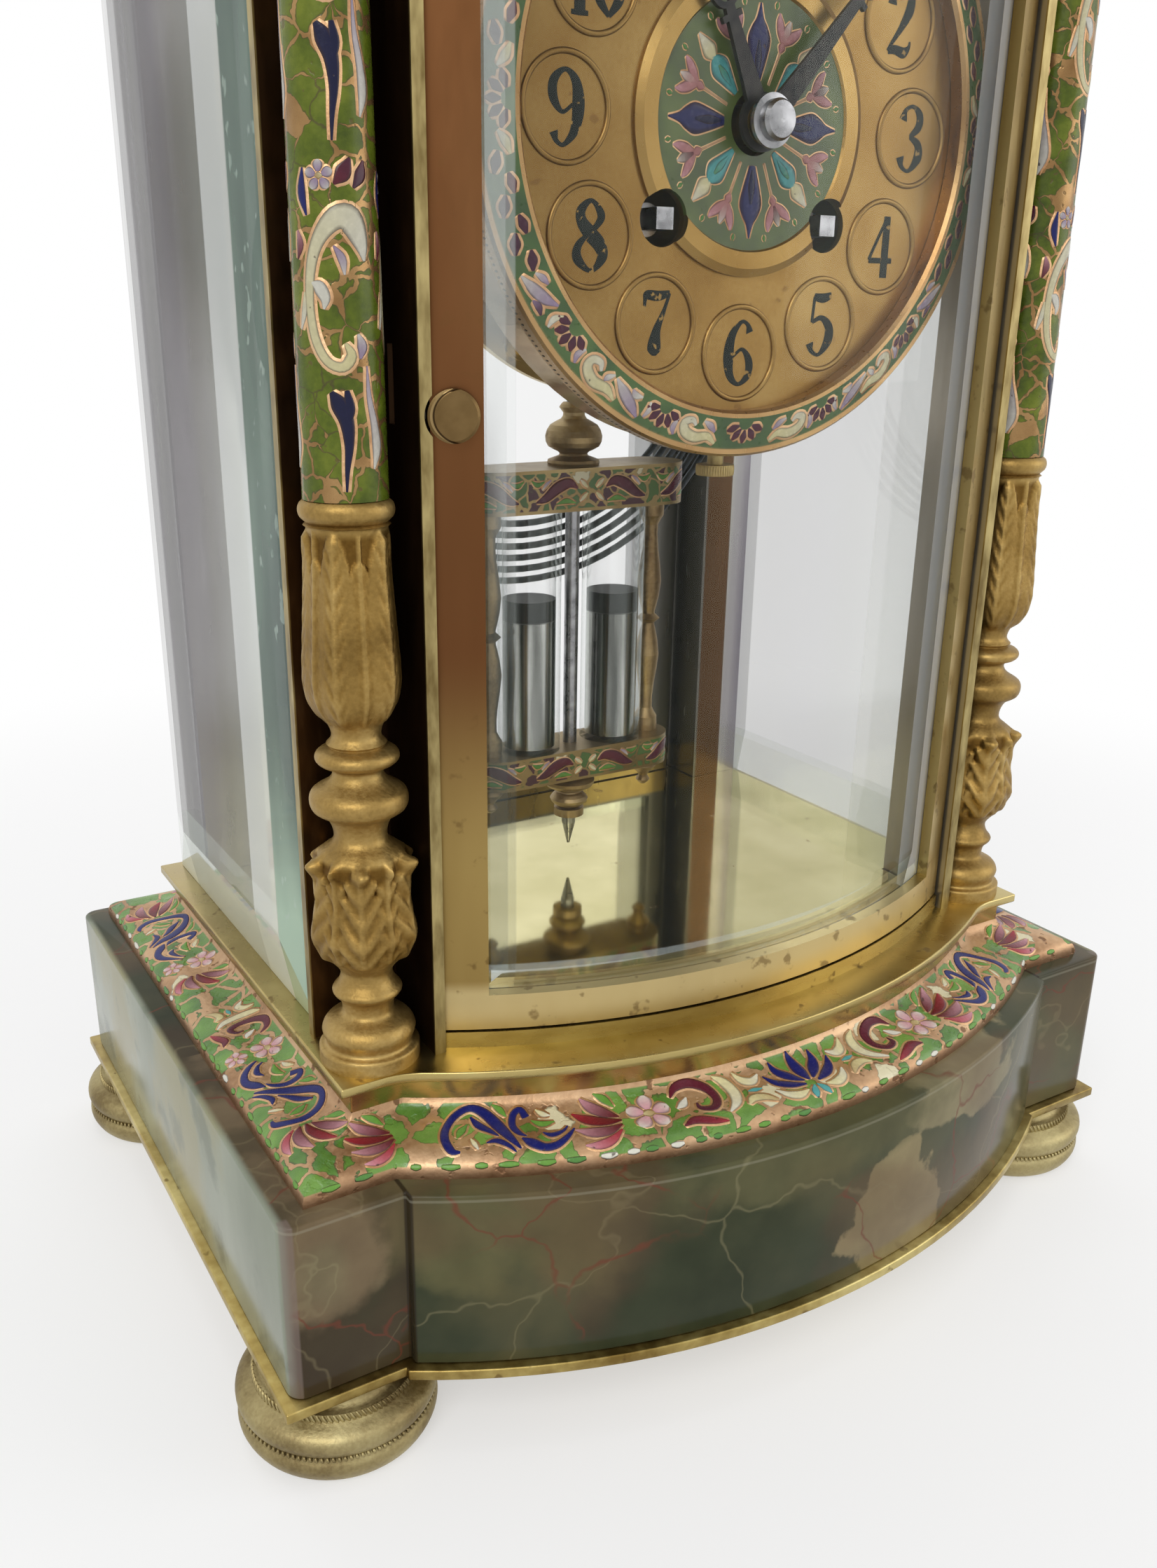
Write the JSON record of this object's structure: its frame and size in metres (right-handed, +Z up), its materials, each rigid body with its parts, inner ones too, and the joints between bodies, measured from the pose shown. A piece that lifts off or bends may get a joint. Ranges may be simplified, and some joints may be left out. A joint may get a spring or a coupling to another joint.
{
  "type": "clock",
  "caption": "Mantel clock with a bow-fronted glazed brass case, onyx base and top, enamelled mouldings and columns, gilt dial, striking movement and mercury pendulum",
  "frame": {"origin": "on the table, under the middle of the clock's overall box", "axes": "+X to the right and -Y to the front as one faces the dial, +Z up"},
  "size_m": [0.201, 0.163, 0.307],
  "materials": {
    "gilt": "matte gilding on cast brass",
    "brass": "polished, a little tarnished",
    "dark_brass": "browned brass",
    "onyx": "polished green onyx with cream clouds and rusty veins",
    "champleve": "coloured enamel in gilt cells",
    "glass": "polished plate glass with bevelled edges",
    "dial_gold": "matte gilded dial",
    "hand_steel": "blackened steel",
    "steel": "polished steel",
    "gong_steel": "dark blued steel",
    "quicksilver": "liquid mirror"
  },
  "bodies": {
    "case": {"feet": "gilt", "bottom_plate": "brass", "onyx_base": "onyx", "base_moulding": "champleve", "lower_ledge": "brass", "floor_plate": "brass", "door_sills": "brass", "front_post_left": "dark_brass", "front_post_right": "dark_brass", "rear_posts": "dark_brass", "side_pane_left": "glass", "side_pane_right": "glass", "column_castings_left": "gilt", "column_castings_right": "gilt", "column_shaft_left": "champleve", "column_shaft_right": "champleve", "upper_ledge": "brass", "top_moulding": "champleve", "onyx_top": "onyx", "dial_plate": "dial_gold", "dial_centre": "champleve", "bezel": "champleve", "drum": "dark_brass", "movement_brackets": "brass", "thumb_screw": "gilt", "front_plate": "brass", "back_plate": "brass", "plate_pillars": "brass", "back_cock": "brass", "gong": "gong_steel", "gong_block": "brass"},
    "front_door": {"front_door_frame": "brass", "front_door_pane": "glass"},
    "front_knob": {"front_door_knob": "gilt"},
    "rear_door": {"rear_door_frame": "brass", "rear_door_pane": "glass"},
    "rear_knob": {"rear_door_knob": "gilt"},
    "minute_arbor": {"centre_wheel": "brass", "minute_hand": "hand_steel", "hand_nut": "steel"},
    "hour_pipe": {"hour_wheel": "brass", "hour_hand": "hand_steel"},
    "motion_wheel": {"minute_wheel": "brass"},
    "second_arbor": {"second_wheel": "brass"},
    "going_drum": {"going_barrel": "brass"},
    "going_winder": {"going_arbor": "steel"},
    "third_arbor": {"third_wheel": "brass"},
    "escape_arbor": {"escape_wheel": "brass"},
    "anchor_arbor": {"anchor": "steel"},
    "strike_drum": {"strike_barrel": "brass"},
    "strike_winder": {"strike_arbor": "steel"},
    "strike_pin_arbor": {"strike_wheel": "brass"},
    "strike_hammer": {"hammer": "steel"},
    "pendulum": {"suspension_spring": "steel", "pendulum_rod": "steel", "pendulum_plates": "champleve", "pendulum_jars": "glass", "mercury": "quicksilver", "pendulum_turnings": "gilt"},
    "rating": {"rating_nut": "gilt"}
  },
  "joints": [
    {"name": "front_door_swing", "type": "hinge", "parent": "case", "child": "front_door", "pos_m": [0.05584, -0.04076, 0.067], "axis": [0, 0, 1], "range_deg": [0, 90]},
    {"name": "front_knob_turn", "type": "hinge", "parent": "front_door", "child": "front_knob", "pos_m": [-0.0553, -0.0424, 0.1688], "axis": [-0.4578, -0.8891, 0], "range_deg": [0, 90]},
    {"name": "rear_door_swing", "type": "hinge", "parent": "case", "child": "rear_door", "pos_m": [-0.0558, 0.0584, 0.067], "axis": [0, 0, 1], "range_deg": [0, 95]},
    {"name": "rear_knob_turn", "type": "hinge", "parent": "rear_door", "child": "rear_knob", "pos_m": [0.0549, 0.061, 0.1688], "axis": [0, -1, 0], "range_deg": [0, 90]},
    {"name": "minute_turn", "type": "hinge", "parent": "case", "child": "minute_arbor", "pos_m": [0, -0.038, 0.211], "axis": [0, 1, 0], "continuous": true},
    {"name": "hour_turn", "type": "hinge", "parent": "case", "child": "hour_pipe", "pos_m": [0, -0.038, 0.211], "axis": [0, 1, 0], "continuous": true},
    {"name": "motion_wheel_turn", "type": "hinge", "parent": "case", "child": "motion_wheel", "pos_m": [0, -0.028, 0.2254], "axis": [0, 1, 0], "continuous": true},
    {"name": "second_turn", "type": "hinge", "parent": "case", "child": "second_arbor", "pos_m": [0.01759, -0.011, 0.21567], "axis": [0, 1, 0], "continuous": true},
    {"name": "going_drum_turn", "type": "hinge", "parent": "case", "child": "going_drum", "pos_m": [0.0165, -0.011, 0.1968], "axis": [0, 1, 0], "continuous": true},
    {"name": "going_winding", "type": "hinge", "parent": "case", "child": "going_winder", "pos_m": [0.0165, -0.011, 0.1968], "axis": [0, 1, 0], "continuous": true},
    {"name": "third_turn", "type": "hinge", "parent": "case", "child": "third_arbor", "pos_m": [0.00392, -0.011, 0.22589], "axis": [0, 1, 0], "continuous": true},
    {"name": "escape_turn", "type": "hinge", "parent": "case", "child": "escape_arbor", "pos_m": [0, -0.011, 0.2385], "axis": [0, 1, 0], "continuous": true},
    {"name": "strike_drum_turn", "type": "hinge", "parent": "case", "child": "strike_drum", "pos_m": [-0.0165, -0.011, 0.1968], "axis": [0, 1, 0], "continuous": true},
    {"name": "strike_winding", "type": "hinge", "parent": "case", "child": "strike_winder", "pos_m": [-0.0165, -0.011, 0.1968], "axis": [0, 1, 0], "continuous": true},
    {"name": "strike_pin_turn", "type": "hinge", "parent": "case", "child": "strike_pin_arbor", "pos_m": [-0.01759, -0.011, 0.21567], "axis": [0, 1, 0], "continuous": true},
    {"name": "hammer_lift", "type": "hinge", "parent": "case", "child": "strike_hammer", "pos_m": [-0.036, 0.009, 0.219], "axis": [0, -1, 0], "range_deg": [0, 15]},
    {"name": "pendulum_swing", "type": "hinge", "parent": "case", "child": "pendulum", "pos_m": [0, 0.014, 0.2495], "axis": [0, 1, 0], "range_deg": [-3, 3]},
    {"name": "anchor_rock", "type": "hinge", "parent": "case", "child": "anchor_arbor", "pos_m": [0, -0.011, 0.2495], "axis": [0, 1, 0], "range_deg": [-3, 3]},
    {"name": "rating_nut_turn", "type": "hinge", "parent": "pendulum", "child": "rating", "pos_m": [0, 0.014, 0.079], "axis": [0, 0, 1], "continuous": true}
  ],
  "couplings": [
    {"joint": "hour_turn", "follows": "minute_turn", "ratio": 0.083333},
    {"joint": "motion_wheel_turn", "follows": "minute_turn", "ratio": -0.33333},
    {"joint": "second_turn", "follows": "minute_turn", "ratio": -0.2381},
    {"joint": "going_drum_turn", "follows": "minute_turn", "ratio": 0.054113},
    {"joint": "third_turn", "follows": "minute_turn", "ratio": -6},
    {"joint": "escape_turn", "follows": "minute_turn", "ratio": 30},
    {"joint": "strike_pin_turn", "follows": "strike_drum_turn", "ratio": -4.4},
    {"joint": "anchor_rock", "follows": "pendulum_swing", "ratio": 1}
  ]
}
